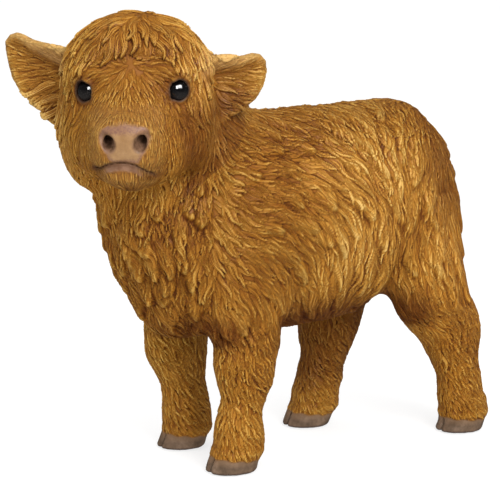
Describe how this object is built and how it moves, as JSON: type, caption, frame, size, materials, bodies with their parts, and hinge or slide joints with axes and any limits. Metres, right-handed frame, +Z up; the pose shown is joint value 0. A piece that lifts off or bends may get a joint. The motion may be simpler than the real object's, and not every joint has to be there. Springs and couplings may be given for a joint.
{
  "type": "cow figurine",
  "caption": "Standing highland calf figurine in hand-painted cast resin, head turned to its left, thick carved coat, glass eyes, bare nose and cloven hooves.",
  "frame": {"origin": "middle of the figurine's box at the ground, under the belly", "axes": "+Z up, the body points to -Y, the calf's own left side is +X"},
  "size_m": [0.1372, 0.31, 0.2907],
  "materials": {
    "painted_resin": "cast resin, ochre base coat, brown wash in the carved fur, pale dry-brushed ridges, satin lacquer",
    "eye_glass": "opaque black glass dome, polished",
    "plug_resin": "resin plug glued into the pouring hole",
    "steel": "plain drawn wire and rod"
  },
  "bodies": {
    "root": {"torso_casting": "painted_resin", "head_casting": "painted_resin", "ear_left": "painted_resin", "ear_right": "painted_resin", "tail": "painted_resin", "leg_front_left": "painted_resin", "leg_front_right": "painted_resin", "leg_hind_left": "painted_resin", "leg_hind_right": "painted_resin", "eye_left": "eye_glass", "eye_right": "eye_glass", "belly_plug": "plug_resin", "rod_front_left": "steel", "rod_front_right": "steel", "rod_hind_left": "steel", "rod_hind_right": "steel", "neck_dowels": "steel", "ear_pins": "steel", "tail_pin": "steel"}
  },
  "joints": []
}
